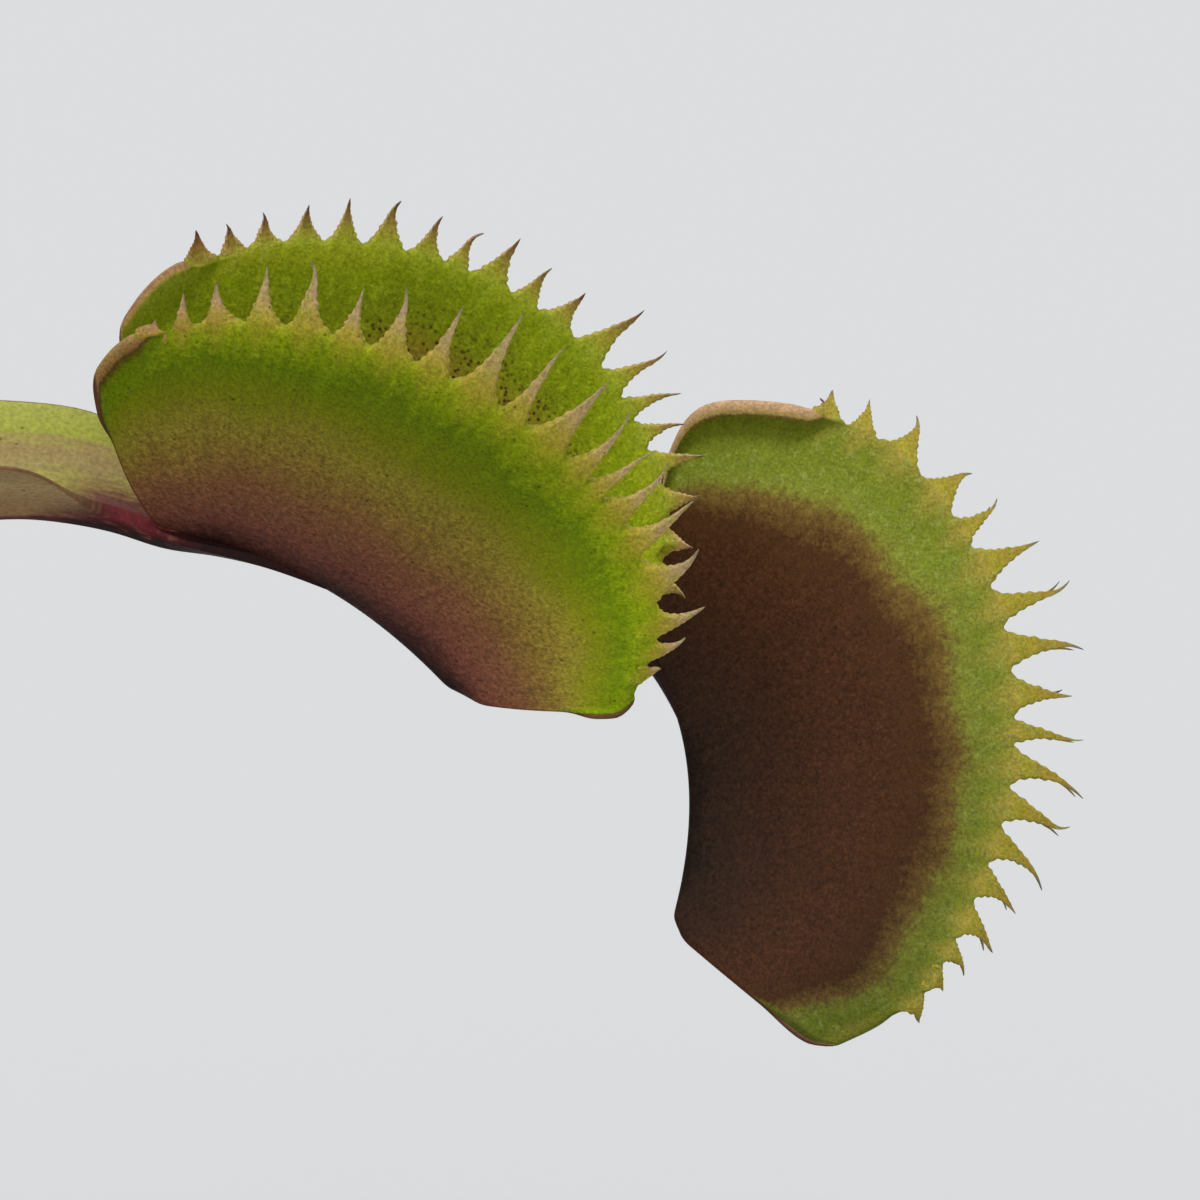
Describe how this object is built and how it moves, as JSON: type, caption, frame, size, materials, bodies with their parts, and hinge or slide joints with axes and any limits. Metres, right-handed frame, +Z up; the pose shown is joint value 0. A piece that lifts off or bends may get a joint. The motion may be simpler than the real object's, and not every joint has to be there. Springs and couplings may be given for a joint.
{
  "type": "potted venus flytrap",
  "caption": "Venus flytrap in a plain round nursery pot: a rosette of winged leaf stalks, each ending in a two-lobed trap with toothed margins.",
  "frame": {"origin": "middle of the flat underside of the pot", "axes": "+Z up through the pot, +X towards the two long leaves that arch over the rim"},
  "size_m": [0.1671, 0.129, 0.1396],
  "materials": {
    "pot_plastic": "thin moulded plastic, dark brown, faintly scuffed",
    "potting_mix": "moist peat with white perlite grains and patches of moss",
    "rhizome_flesh": "smooth pale bulb scales",
    "petiole_flesh": "satin living leaf, yellow-green with a red keel",
    "trap_flesh": "satin living leaf, green margins that turn maroon at the midrib, tan teeth",
    "dark_trap_flesh": "satin living leaf, maroon with a green band below the olive teeth"
  },
  "bodies": {
    "root": {"pot": "pot_plastic", "soil": "potting_mix", "rhizome": "rhizome_flesh", "leaf_1_petiole": "petiole_flesh", "leaf_1_trap": "trap_flesh", "leaf_2_petiole": "petiole_flesh", "leaf_2_trap": "dark_trap_flesh", "leaf_3_petiole": "petiole_flesh", "leaf_3_trap": "trap_flesh", "leaf_4_petiole": "petiole_flesh", "leaf_4_trap": "trap_flesh", "leaf_5_petiole": "petiole_flesh", "leaf_5_trap": "trap_flesh", "leaf_6_petiole": "petiole_flesh", "leaf_6_trap": "trap_flesh", "leaf_7_petiole": "petiole_flesh", "leaf_7_trap": "trap_flesh", "leaf_8_petiole": "petiole_flesh", "leaf_8_trap": "trap_flesh", "leaf_9_petiole": "petiole_flesh", "leaf_9_trap": "trap_flesh", "leaf_10_petiole": "petiole_flesh", "leaf_10_trap": "trap_flesh"}
  },
  "joints": []
}
